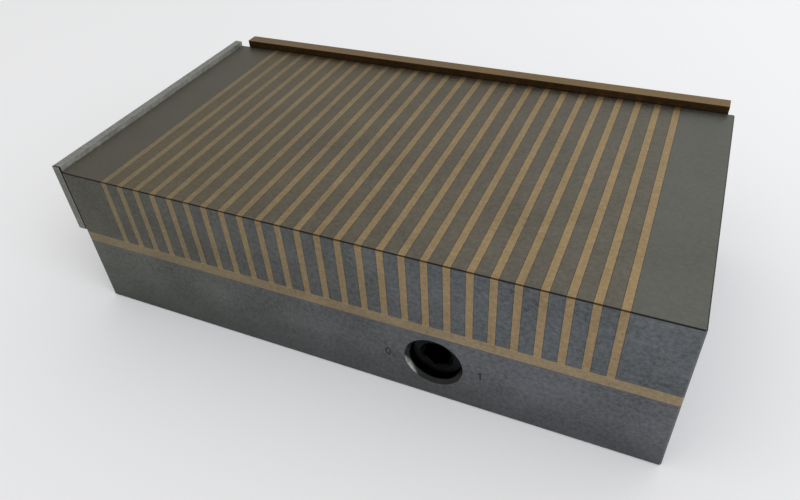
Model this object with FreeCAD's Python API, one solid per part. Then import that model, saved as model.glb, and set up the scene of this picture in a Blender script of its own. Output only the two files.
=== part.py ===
"""Permanent magnetic chuck for a grinding machine, switched by a hexagon key.

All sizes are in millimetres. The origin lies in the plane that the base stands on,
under the middle of the working face. X runs along the chuck, Y from front to rear, Z up.

The working face is a laminated pole plate of steel bars and brass strips. It stands on
a brass separation frame and a steel base. A magnet pack with the same pitch slides half
a pitch inside the base: under the strips it is off, under the bars it is on. The
position drawn here is off. A cam shaft in the front wall drives the pack: its eccentric
turns in a slide block, and the block works in an upright slot in the pack's front rail.
"""
import FreeCAD, Part
import math
import os

Vector = FreeCAD.Vector

# ---- Driving dimensions: pole plate -------------------------------------------------
strip_count = 26
strip_width = 3.3
bar_width = 6.5
plate_height = 37.0
edge_break = 0.5

# ---- Driving dimensions: base -------------------------------------------------------
base_height = 40.5
band_height = 5.5
end_wall = 20.0
side_wall = 16.0
corner_chamfer = 0.8
foot_chamfer = 0.5
pocket_radius = 3.0

# ---- Driving dimensions: bottom cover -----------------------------------------------
cover_thickness = 5.0
cover_recess = 0.5
cover_side_lip = 8.0
cover_end_lip = 2.5
cover_corner_radius = 4.0
cover_gap = 0.2
cover_screw_inset = 20.0

# ---- Driving dimensions: magnet pack ------------------------------------------------
pack_pole_thickness = 5.0
pack_core_width = 100.0
pack_end_bar_thickness = 4.5
rail_thickness = 12.0
pack_floor_thickness = 4.0
magnet_recess = 1.0
pack_end_clearance = 0.5
pack_top_clearance = 0.3

# ---- Driving dimensions: strips that the pack slides on and between ------------------
slide_strip_thickness = 1.5
slide_strip_width = 8.0
slide_strip_inset = 6.0
slide_clearance = 0.05
support_strip_thickness = 2.5
support_strip_inset = 30.0
support_clearance = 0.3
guide_strip_thickness = 1.8
guide_strip_height = 8.0
guide_strip_inset = 20.0
guide_window = 44.0
guide_clearance = 0.2

# ---- Driving dimensions: cam shaft and its drive ------------------------------------
shaft_x = 47.0
shaft_height = 23.0
bore_radius = 12.25
bore_mouth_chamfer = 1.9
shaft_clearance = 0.05
shaft_recess = 4.4
shaft_chamfer = 0.6
key_flats = 13.0
key_depth = 10.0
key_angle = 20.0
key_mouth_chamfer = 0.7
eccentric_radius = 8.0
block_width = 20.0
block_edge_break = 0.5
block_side_clearance = 0.6
block_end_clearance = 0.3
slot_top_clearance = 1.0
floor_notch_margin = 1.5
seal_thickness = 1.4
seal_width = 1.8
seal_floor_gap = 0.02
seal_groove_depth = 1.5
seal_groove_width = 2.2
seal_from_face = 2.4
locating_groove_depth = 2.7
locating_groove_side_gap = 0.2
locating_groove_end_gap = 0.3
locating_tip_gap = 0.3
locating_screw_radius = 2.5
locating_dog_radius = 1.75
locating_dog_start = 0.6
locating_from_inner_face = 4.5

# ---- Driving dimensions: fastening --------------------------------------------------
clamp_half_spacing = 40.0
clamp_head_depth = 12.0
clamp_grip = 14.0
table_hole_radius = 3.4
table_hole_depth = 18.0
table_hole_half_spacing = 62.0
thread_clearance = 0.1
hole_clearance = 0.25
counterbore_clearance = 0.5

# ---- Driving dimensions: adjustable stops -------------------------------------------
side_stop_thickness = 5.0
side_stop_height = 38.5
side_stop_proud = 2.7
side_stop_rise = 2.3
side_stop_screw_spacing = 100.0
rear_stop_thickness = 8.0
rear_stop_left_gap = 5.8
rear_stop_right_gap = 3.2
rear_stop_height = 40.0
rear_stop_proud = 4.0
rear_stop_rise = 2.0
rear_stop_screw_inset = 13.0
stop_drop_below_face = 1.0
stop_screw_depth_below_face = 15.0
stop_screw_grip = 14.0
stop_edge_break = 0.6

# ---- Driving dimensions: M4 countersunk and M6 socket head screws ---------------------
flat_shank_radius = 2.0
flat_head_radius = 3.8
flat_head_height = 2.0
flat_screw_length = 14.0
cap_shank_radius = 3.0
cap_head_radius = 5.0
cap_head_height = 6.0
cap_key_flats = 5.0
cap_key_depth = 3.0

# ---- Derived places along X ---------------------------------------------------------
pitch = strip_width + bar_width
travel = pitch / 2
throw = travel / 2
lamination_half = (strip_count * strip_width + (strip_count - 1) * bar_width) / 2
rail_half = ((strip_count - 2) * pitch + pack_pole_thickness) / 2
pack_half = rail_half + pack_end_bar_thickness
pocket_half_length = pack_half + travel + pack_end_clearance
half_length = pocket_half_length + end_wall
cover_half_length = pocket_half_length + cover_end_lip
clamp_x = (cover_half_length + half_length) / 2
pack_x = -travel
slot_x = shaft_x - throw

# ---- Derived places along Y ---------------------------------------------------------
pack_core_half = pack_core_width / 2
rail_middle = pack_core_half + rail_thickness / 2
pack_half_width = pack_core_half + rail_thickness
pocket_half_width = pack_half_width + guide_clearance + guide_strip_thickness
half_width = pocket_half_width + side_wall
cover_half_width = pocket_half_width + cover_side_lip
cover_screw_y = pocket_half_width + cover_side_lip / 2
shaft_face_y = -half_width + shaft_recess
collar_end_y = -(pack_half_width + block_end_clearance)
eccentric_end_y = -(pack_core_half + block_end_clearance)
locating_y = -(pocket_half_width + locating_from_inner_face)
seal_middle_y = shaft_face_y + seal_from_face

# ---- Derived places along Z ---------------------------------------------------------
cover_top = cover_recess + cover_thickness
plate_bottom = base_height + band_height
plate_top = plate_bottom + plate_height
pack_bottom = cover_top + support_strip_thickness + support_clearance
pack_floor_top = pack_bottom + pack_floor_thickness
pack_top = plate_bottom - pack_top_clearance
slide_strip_top = plate_bottom - slide_clearance
slide_strip_bottom = slide_strip_top - slide_strip_thickness
slot_top = shaft_height + throw + block_width / 2 + slot_top_clearance
stop_screw_z = plate_top - stop_screw_depth_below_face

# ---- Derived radii ------------------------------------------------------------------
collar_radius = bore_radius - shaft_clearance
locating_floor_radius = collar_radius - locating_groove_depth
seal_floor_radius = collar_radius - seal_groove_depth

FORWARD = Vector(0, -1, 0)
REARWARD = Vector(0, 1, 0)
UPWARD = Vector(0, 0, 1)
LEFTWARD = Vector(-1, 0, 0)
RIGHTWARD = Vector(1, 0, 0)
touch = 1e-6


# ---- Shapes used by many pieces -----------------------------------------------------
def both_sides(half):
    """The span from minus half to plus half."""
    return (-half, half)


def block(x_span, y_span, z_span):
    """A box between the low and high value of each span."""
    low, high = zip(x_span, y_span, z_span)
    sizes = [top - bottom for bottom, top in zip(low, high)]
    return Part.makeBox(*sizes, Vector(*low))


def rod(radius, start, direction, length):
    """A round bar that starts at a point and runs along a direction."""
    return Part.makeCylinder(radius, length, start, direction)


def joined(shapes):
    """One solid from several shapes that touch or overlap."""
    return shapes[0].fuse(shapes[1:]).removeSplitter()


def cut_away(body, cutters):
    """The body without what the cutters cover."""
    return body.cut(list(cutters))


def break_edges(body, size, wanted):
    """Chamfer the edges that the test picks out."""
    return body.makeChamfer(size, [edge for edge in body.Edges if wanted(edge)])


def is_upright(edge):
    """True for an edge that runs along Z."""
    return edge.BoundBox.XLength < touch and edge.BoundBox.YLength < touch


def round_pocket(half_x, half_y, z_span, radius):
    """A rectangular block about the Z axis with rounded upright corners."""
    body = block(both_sides(half_x), both_sides(half_y), z_span)
    return body.makeFillet(radius, [edge for edge in body.Edges if is_upright(edge)])


def chamfered_body(z_span):
    """The chuck's outer rectangle over a height, with chamfered upright corners."""
    body = block(both_sides(half_length), both_sides(half_width), z_span)
    return break_edges(body, corner_chamfer, is_upright)


def hexagon_prism(flats, start, direction, length, angle=0.0):
    """A hexagonal bar; the angle turns its first corner about the bar's own axis."""
    corner_radius = flats / math.sqrt(3)
    turns = [math.radians(angle + 60 * corner) for corner in range(7)]
    corners = [Vector(corner_radius * math.cos(turn), corner_radius * math.sin(turn), 0)
               for turn in turns]
    prism = Part.Face(Part.makePolygon(corners)).extrude(Vector(0, 0, length))
    prism.Placement = FreeCAD.Placement(start, FreeCAD.Rotation(UPWARD, direction))
    return prism


# ---- Screws and the holes they need --------------------------------------------------
def cap_screw(seat, direction, shank_length):
    """An M6 socket head screw whose head bears on the seat; its shank runs along direction."""
    head_top = seat - direction * cap_head_height
    head = rod(cap_head_radius, head_top, direction, cap_head_height)
    shank = rod(cap_shank_radius, seat, direction, shank_length)
    socket = hexagon_prism(cap_key_flats, head_top, direction, cap_key_depth)
    return joined([head, shank]).cut(socket)


def countersunk_shape(widening, face_point, direction, length):
    """An M4 countersunk screw's outline, or its hole if widened; level with the face."""
    shank_radius = flat_shank_radius + widening
    head = Part.makeCone(flat_head_radius + widening, shank_radius, flat_head_height,
                         face_point, direction)
    return joined([head, rod(shank_radius, face_point, direction, length)])


def cap_tapped_hole(start, direction, length):
    """A hole that an M6 screw is threaded into."""
    return rod(cap_shank_radius + thread_clearance, start, direction, length)


def upright_slot(half_width_of_slot, low_z, high_z, start, direction, depth):
    """A round-ended slot, upright on the face, cut along a direction."""
    low_end = Vector(start.x, start.y, low_z + half_width_of_slot)
    high_end = Vector(start.x, start.y, high_z - half_width_of_slot)
    across = direction.cross(UPWARD) * half_width_of_slot
    far = direction * depth
    corners = [low_end - across, low_end + across, high_end + across, high_end - across]
    middle = Part.Face(Part.makePolygon(corners + corners[:1])).extrude(far)
    ends = [rod(half_width_of_slot, end, direction, depth) for end in (low_end, high_end)]
    return joined([middle] + ends)


# ---- Where the fastenings are ---------------------------------------------------------
def clamp_points(z):
    """The four places where screws clamp base, frame and pole plate together."""
    return [Vector(x, y, z) for x in both_sides(clamp_x) for y in both_sides(clamp_half_spacing)]


def table_hole_points():
    """The four tapped holes in the base that a machine table or sub-plate uses."""
    return [Vector(x, y, 0) for x in both_sides(clamp_x)
            for y in both_sides(table_hole_half_spacing)]


def cover_screw_points():
    """A cover screw stands near each corner, on the long sides' lips."""
    return [Vector(x, y, cover_recess) for x in both_sides(cover_half_length - cover_screw_inset)
            for y in both_sides(cover_screw_y)]


def side_stop_screw_points():
    """Where the side stop's screws enter the left end."""
    return [Vector(-half_length, y, stop_screw_z) for y in both_sides(side_stop_screw_spacing / 2)]


def rear_stop_screw_points():
    """Where the rear stop's screws enter the rear side, one in each end block."""
    return [Vector(x, half_width, stop_screw_z)
            for x in both_sides(half_length - rear_stop_screw_inset)]


# ---- Base ------------------------------------------------------------------------------
def base_housing():
    """Steel base: an open frame with the shaft bore low on the right of its front wall."""
    body = chamfered_body((0, base_height))
    body = break_edges(body, foot_chamfer, lambda edge: edge.BoundBox.ZMax < touch)
    cutters = [
        round_pocket(pocket_half_length, pocket_half_width, (0, base_height), pocket_radius),
        round_pocket(cover_half_length, cover_half_width, (0, cover_top), cover_corner_radius),
        rod(bore_radius, Vector(shaft_x, -half_width, shaft_height), REARWARD, side_wall),
        Part.makeCone(bore_radius + bore_mouth_chamfer, bore_radius, bore_mouth_chamfer,
                      Vector(shaft_x, -half_width, shaft_height), REARWARD),
        rod(locating_screw_radius + thread_clearance,
            Vector(shaft_x, locating_y, cover_top), UPWARD, shaft_height - cover_top),
    ]
    for point in clamp_points(0):
        cutters.append(rod(cap_head_radius + counterbore_clearance, point, UPWARD,
                           clamp_head_depth))
        cutters.append(rod(cap_shank_radius + hole_clearance, point, UPWARD, base_height))
    cutters += [rod(table_hole_radius, point, UPWARD, table_hole_depth)
                for point in table_hole_points()]
    cutters += [rod(flat_shank_radius + thread_clearance, point, UPWARD, flat_screw_length)
                for point in cover_screw_points()]
    return cut_away(body, cutters)


def bottom_cover():
    """Steel plate let into the underside of the base."""
    body = round_pocket(cover_half_length - cover_gap, cover_half_width - cover_gap,
                        (cover_recess, cover_top), cover_corner_radius - cover_gap)
    holes = [countersunk_shape(hole_clearance, point, UPWARD, cover_thickness)
             for point in cover_screw_points()]
    return cut_away(body, holes)


def cover_screws():
    """Countersunk screws that hold the bottom cover."""
    return [countersunk_shape(0.0, point, UPWARD, flat_screw_length - thread_clearance)
            for point in cover_screw_points()]


def separation_frame():
    """Brass frame that keeps the pole plate's flux out of the steel base."""
    body = chamfered_body((base_height, plate_bottom))
    cutters = [round_pocket(pocket_half_length, pocket_half_width,
                            (base_height, plate_bottom), pocket_radius)]
    cutters += [rod(cap_shank_radius + hole_clearance, point, UPWARD, band_height)
                for point in clamp_points(base_height)]
    return cut_away(body, cutters)


def clamp_screws():
    """Long screws from under the base, through the frame, into the end blocks."""
    length = plate_bottom + clamp_grip - clamp_head_depth
    return [cap_screw(point, UPWARD, length) for point in clamp_points(clamp_head_depth)]


# ---- Pole plate ------------------------------------------------------------------------
def plate_slice(x_span):
    """One lamination: its top front and rear edges are broken like the whole plate's."""
    body = block(x_span, both_sides(half_width), (plate_bottom, plate_top))

    def is_long_top_edge(edge):
        box = edge.BoundBox
        return box.ZMin > plate_top - touch and box.YLength < touch

    return break_edges(body, edge_break, is_long_top_edge)


def pole_bars():
    """Steel bars between the brass strips."""
    first = -lamination_half + strip_width
    starts = [first + index * pitch for index in range(strip_count - 1)]
    return [plate_slice((start, start + bar_width)) for start in starts]


def brass_strips():
    """Brass strips that part the poles, level with the steel on top and front."""
    starts = [-lamination_half + index * pitch for index in range(strip_count)]
    return [plate_slice((start, start + strip_width)) for start in starts]


def end_block(side):
    """Solid steel end of the pole plate, on the left (-1) or right (+1)."""
    body = plate_slice(sorted((side * lamination_half, side * half_length)))
    body = body.common(chamfered_body((plate_bottom, plate_top)))

    def is_end_top_edge(edge):
        box = edge.BoundBox
        at_end = abs(box.XMin - side * half_length) < touch and box.XLength < touch
        return at_end and box.ZMin > plate_top - touch

    body = break_edges(body, edge_break, is_end_top_edge)
    cutters = [cap_tapped_hole(point, UPWARD, clamp_grip + thread_clearance)
               for point in clamp_points(plate_bottom)]
    cutters += [cap_tapped_hole(point, RIGHTWARD, stop_screw_grip + thread_clearance)
                for point in side_stop_screw_points()]
    cutters += [cap_tapped_hole(point, FORWARD, stop_screw_grip + thread_clearance)
                for point in rear_stop_screw_points()]
    return cut_away(body, cutters)


def left_end_block():
    """End of the pole plate that carries the side stop."""
    return end_block(-1)


def right_end_block():
    """Plain end of the pole plate."""
    return end_block(1)


# ---- Strips that guide the pack ----------------------------------------------------------
def wall_strip(x_span, side):
    """A bearing strip on the front (-1) or rear (+1) wall, just under the brass frame."""
    near = pocket_half_width - guide_strip_thickness
    y_span = sorted((side * near, side * pocket_half_width))
    return block(x_span, y_span, (base_height - guide_strip_height, base_height))


def front_guide_strips():
    """Bearing strips on the front wall, left and right of the shaft."""
    end = pocket_half_length - guide_strip_inset
    window = both_sides(guide_window / 2)
    return [wall_strip((-end, shaft_x + window[0]), -1),
            wall_strip((shaft_x + window[1], end), -1)]


def rear_guide_strip():
    """Bearing strip on the rear wall."""
    return wall_strip(both_sides(pocket_half_length - guide_strip_inset), 1)


def support_strips():
    """Strips on the bottom cover that catch the pack's floor."""
    x_span = both_sides(pocket_half_length - support_strip_inset)
    z_span = (cover_top, cover_top + support_strip_thickness)
    return [block(x_span, rail_strip_span(side), z_span) for side in (-1, 1)]


def rail_strip_span(side):
    """Y span of a strip centred on the front (-1) or rear (+1) rail."""
    middle = side * rail_middle
    return (middle - slide_strip_width / 2, middle + slide_strip_width / 2)


# ---- Magnet pack ---------------------------------------------------------------------------
def pack_span(half):
    """X span centred on the pack where it stands when switched off."""
    return (pack_x - half, pack_x + half)


def pack_pole_plates():
    """Soft iron plates that carry the flux up, one for each pole bar above."""
    count = strip_count - 1
    first = pack_x - rail_half
    starts = [first + index * pitch for index in range(count)]
    return [block((start, start + pack_pole_thickness), both_sides(pack_core_half),
                  (pack_floor_top, pack_top)) for start in starts]


def pack_magnets():
    """Magnets between the pole plates, a little lower than them for protection."""
    first = pack_x - rail_half + pack_pole_thickness
    thickness = pitch - pack_pole_thickness
    starts = [first + index * pitch for index in range(strip_count - 2)]
    return [block((start, start + thickness), both_sides(pack_core_half),
                  (pack_floor_top, pack_top - magnet_recess)) for start in starts]


def slide_strip_block(side):
    """Space that a slide strip takes in the top of a rail."""
    return block(pack_span(rail_half - slide_strip_inset), rail_strip_span(side),
                 (slide_strip_bottom, slide_strip_top))


def pack_rail(side):
    """Brass rail along the front (-1) or rear (+1) of the magnets."""
    y_span = sorted((side * pack_core_half, side * pack_half_width))
    body = block(pack_span(rail_half), y_span, (pack_floor_top, pack_top))
    return cut_away(body, [slide_strip_block(side)])


def drive_slot():
    """Upright slot for the slide block, open at the bottom of the front rail."""
    half = block_width / 2 + block_side_clearance
    return block((slot_x - half, slot_x + half), (-pack_half_width, -pack_core_half),
                 (pack_floor_top, slot_top))


def pack_front_rail():
    """Front rail, with the slot that the slide block works in."""
    return cut_away(pack_rail(-1), [drive_slot()])


def pack_rear_rail():
    """Rear rail."""
    return pack_rail(1)


def pack_floor():
    """Brass floor brazed under the rails and bonded to the magnets, notched for the block."""
    body = block(pack_span(pack_half), both_sides(pack_half_width), (pack_bottom, pack_floor_top))
    half = block_width / 2 + block_side_clearance + floor_notch_margin
    notch = block((slot_x - half, slot_x + half), (-pack_half_width, -pack_core_half),
                  (pack_bottom, pack_floor_top))
    return cut_away(body, [notch])


def pack_end_bar(side):
    """Brass bar brazed across the left (-1) or right (+1) end of the rails."""
    x_span = sorted((pack_x + side * rail_half, pack_x + side * pack_half))
    return block(x_span, both_sides(pack_half_width), (pack_floor_top, pack_top))


def pack_left_end_bar():
    """End bar on the left of the pack."""
    return pack_end_bar(-1)


def pack_right_end_bar():
    """End bar on the right of the pack."""
    return pack_end_bar(1)


def pack_slide_strips():
    """Bearing strips in the rails that run against the underside of the pole plate."""
    return [slide_strip_block(side) for side in (-1, 1)]


# ---- Cam shaft ------------------------------------------------------------------------------
def shaft_point(y):
    """The point of the shaft's axis at a distance from front to rear."""
    return Vector(shaft_x, y, shaft_height)


def eccentric_point(y):
    """The point of the eccentric's axis when the chuck is off: left of the shaft's axis."""
    return Vector(shaft_x - throw, y, shaft_height)


def shaft_ring(inner_radius, outer_radius, middle_y, width):
    """A ring about the shaft's axis."""
    start = shaft_point(middle_y - width / 2)
    return rod(outer_radius, start, REARWARD, width).cut(rod(inner_radius, start, REARWARD, width))


def locating_groove():
    """Part-turn groove that the locating screw's dog lies in.

    The dog points up at the shaft from below. A half turn of the shaft carries the
    groove's rightward half past it, so the ends of the groove stop the key off and on.
    """
    dog_reach_radius = locating_floor_radius + locating_tip_gap
    end_margin = math.atan((locating_dog_radius + locating_groove_end_gap) / dog_reach_radius)
    start_angle = -math.pi / 2 - end_margin
    sweep = math.pi + 2 * end_margin
    half = locating_dog_radius + locating_groove_side_gap
    outward = Vector(math.cos(start_angle), 0, math.sin(start_angle))
    beyond = bore_radius + bore_mouth_chamfer
    radii = (locating_floor_radius, beyond, beyond, locating_floor_radius)
    depths = (-half, -half, half, half)
    corners = [shaft_point(locating_y + depth) + outward * radius
               for radius, depth in zip(radii, depths)]
    section = Part.Face(Part.makePolygon(corners + corners[:1]))
    return section.revolve(shaft_point(0), FORWARD, math.degrees(sweep))


def cam_shaft():
    """Collar with hexagon socket, seal groove and locating groove, and the eccentric."""
    face = shaft_point(shaft_face_y)
    collar = rod(collar_radius, face, REARWARD, collar_end_y - shaft_face_y)
    at_face = shaft_face_y + touch
    collar = break_edges(collar, shaft_chamfer, lambda edge: edge.BoundBox.YMax < at_face)
    eccentric = rod(eccentric_radius, eccentric_point(collar_end_y), REARWARD,
                    eccentric_end_y - collar_end_y)
    mouth_radius = key_flats / math.sqrt(3) + key_mouth_chamfer
    mouth_depth = 2 * key_mouth_chamfer
    cutters = [
        hexagon_prism(key_flats, face, REARWARD, key_depth, -key_angle),
        Part.makeCone(mouth_radius, mouth_radius - mouth_depth, mouth_depth, face, REARWARD),
        shaft_ring(seal_floor_radius, bore_radius, seal_middle_y, seal_groove_width),
        locating_groove(),
    ]
    return cut_away(joined([collar, eccentric]), cutters)


def shaft_seal():
    """Square-section rubber ring in the collar that keeps coolant out of the base."""
    inner_radius = seal_floor_radius + seal_floor_gap
    return shaft_ring(inner_radius, inner_radius + seal_thickness, seal_middle_y, seal_width)


def locating_screw():
    """Set screw in the front wall whose dog holds the shaft endwise and limits its turn."""
    start = Vector(shaft_x, locating_y, cover_top)
    body_top = shaft_height - bore_radius - locating_dog_start
    tip = shaft_height - locating_floor_radius - locating_tip_gap
    body = rod(locating_screw_radius, start, UPWARD, body_top - cover_top)
    dog = rod(locating_dog_radius, start, UPWARD, tip - cover_top)
    return joined([body, dog])


def slide_block():
    """Bronze block that turns on the eccentric and slides up and down in the rail's slot."""
    half = block_width / 2
    front_face_y = collar_end_y + 2 * block_end_clearance
    body = block((slot_x - half, slot_x + half), (front_face_y, eccentric_end_y),
                 (shaft_height - half, shaft_height + half))
    body = break_edges(body, block_edge_break, lambda edge: edge.BoundBox.YLength > touch)
    return body.cut(rod(eccentric_radius + shaft_clearance, eccentric_point(collar_end_y),
                        REARWARD, rail_thickness))


# ---- Adjustable stops -------------------------------------------------------------------------
def stop_slots(points, direction, depth, proud, rise):
    """Slots that let a stop rise, or drop below the working face, past its screws."""
    half = cap_shank_radius + hole_clearance
    drop = proud + stop_drop_below_face
    low = stop_screw_z - half - rise
    high = stop_screw_z + half + drop
    return [upright_slot(half, low, high, point, direction, depth) for point in points]


def side_stop():
    """Ground steel plate on the left end, standing a little above the working face."""
    top = plate_top + side_stop_proud
    body = block((-half_length - side_stop_thickness, -half_length), both_sides(half_width),
                 (top - side_stop_height, top))
    outer_face = -half_length - side_stop_thickness + touch
    body = break_edges(body, stop_edge_break, lambda edge: edge.BoundBox.XMax < outer_face)
    return cut_away(body, stop_slots(side_stop_screw_points(), LEFTWARD, side_stop_thickness,
                                     side_stop_proud, side_stop_rise))


def rear_stop():
    """Brass rail along the rear side, standing above the working face."""
    top = plate_top + rear_stop_proud
    body = block((-half_length + rear_stop_left_gap, half_length - rear_stop_right_gap),
                 (half_width, half_width + rear_stop_thickness),
                 (top - rear_stop_height, top))
    outer_face = half_width + rear_stop_thickness - touch
    body = break_edges(body, stop_edge_break, lambda edge: edge.BoundBox.YMin > outer_face)
    return cut_away(body, stop_slots(rear_stop_screw_points(), REARWARD, rear_stop_thickness,
                                     rear_stop_proud, rear_stop_rise))


def stop_screws(points, outward, stop_thickness):
    """Cap screws that clamp a stop; their heads bear on both edges of its slots."""
    return [cap_screw(point + outward * stop_thickness, outward * -1,
                      stop_thickness + stop_screw_grip) for point in points]


def side_stop_screws():
    """Screws of the side stop."""
    return stop_screws(side_stop_screw_points(), LEFTWARD, side_stop_thickness)


def rear_stop_screws():
    """Screws of the rear stop."""
    return stop_screws(rear_stop_screw_points(), REARWARD, rear_stop_thickness)


# ---- Nodes -------------------------------------------------------------------------------------
single_pieces = (
    base_housing, bottom_cover, separation_frame, left_end_block, right_end_block,
    rear_guide_strip, locating_screw, cam_shaft, shaft_seal, slide_block, pack_front_rail,
    pack_rear_rail, pack_floor, pack_left_end_bar, pack_right_end_bar, side_stop, rear_stop,
)
sets_of_pieces = (
    pole_bars, brass_strips, cover_screws, clamp_screws, front_guide_strips, support_strips,
    pack_pole_plates, pack_magnets, pack_slide_strips, side_stop_screws, rear_stop_screws,
)

os.makedirs("parts", exist_ok=True)
for make_piece in single_pieces:
    make_piece().exportStep(f"parts/{make_piece.__name__}.step")
for make_set in sets_of_pieces:
    Part.makeCompound(make_set()).exportStep(f"parts/{make_set.__name__}.step")
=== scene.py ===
"""Looks of a permanent magnetic chuck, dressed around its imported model.

Lengths are in metres in the model's own frame, except where a name ends in _mm. X runs
along the chuck, Y from front to rear, and Z up from the plane that the base stands on.
"""
import logging
import math
from dataclasses import dataclass, replace
from enum import Enum
from functools import partial, reduce
from typing import Any, Iterable, Optional, Sequence

import bmesh
import bpy
from mathutils import Euler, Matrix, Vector


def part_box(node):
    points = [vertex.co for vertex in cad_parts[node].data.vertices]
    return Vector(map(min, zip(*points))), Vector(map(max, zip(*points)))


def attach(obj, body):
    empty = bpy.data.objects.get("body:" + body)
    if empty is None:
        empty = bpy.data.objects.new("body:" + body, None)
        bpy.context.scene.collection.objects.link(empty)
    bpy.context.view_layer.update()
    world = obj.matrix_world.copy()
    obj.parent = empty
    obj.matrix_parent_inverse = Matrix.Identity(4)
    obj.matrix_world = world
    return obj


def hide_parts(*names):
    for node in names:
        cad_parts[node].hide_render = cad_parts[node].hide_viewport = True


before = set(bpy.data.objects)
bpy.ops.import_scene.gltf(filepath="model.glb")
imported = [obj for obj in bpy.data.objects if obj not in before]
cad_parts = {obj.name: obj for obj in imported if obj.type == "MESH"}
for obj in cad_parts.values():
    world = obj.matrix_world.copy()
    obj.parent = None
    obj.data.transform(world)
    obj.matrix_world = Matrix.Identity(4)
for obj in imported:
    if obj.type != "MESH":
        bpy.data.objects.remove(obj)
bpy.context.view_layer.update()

log = logging.getLogger("chuck")

MM = 0.001
NodeSocket = bpy.types.NodeSocket


class Axis(Enum):
    """A direction of the chuck's own frame."""

    ALONG = 0
    ACROSS = 1
    UP = 2


class Head(Enum):
    """The form of a screw's head."""

    CAP = "cap"
    FLAT = "flat"


def linear(hex_colour: str) -> tuple[float, float, float, float]:
    """Turn an sRGB hex colour into the linear colour that a shader reads.

    Args:
        hex_colour: six hex digits, with or without a leading number sign.

    Returns:
        Red, green, blue and an alpha of 1.
    """
    digits = hex_colour.lstrip("#")
    channels = [int(digits[i:i + 2], 16) / 255 for i in (0, 2, 4)]
    red, green, blue = [c / 12.92 if c <= 0.04045 else ((c + 0.055) / 1.055) ** 2.4
                        for c in channels]
    return (red, green, blue, 1.0)


def add_node(tree: bpy.types.NodeTree, kind: str, settings: Optional[dict] = None,
             links: Optional[dict] = None) -> bpy.types.Node:
    """Add one node, with its settings and links.

    Args:
        tree: the node tree that gets the node.
        kind: Blender's type name of the node.
        settings: the node's properties by name, and its unlinked inputs by name or number.
        links: for an input's name or number, the output that feeds it.

    Returns:
        The new node.
    """
    node = tree.nodes.new(kind)
    for name, value in (settings or {}).items():
        if isinstance(name, str) and hasattr(node, name):
            setattr(node, name, value)
        else:
            node.inputs[name].default_value = value
    for name, socket in (links or {}).items():
        tree.links.new(socket, node.inputs[name])
    return node


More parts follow.
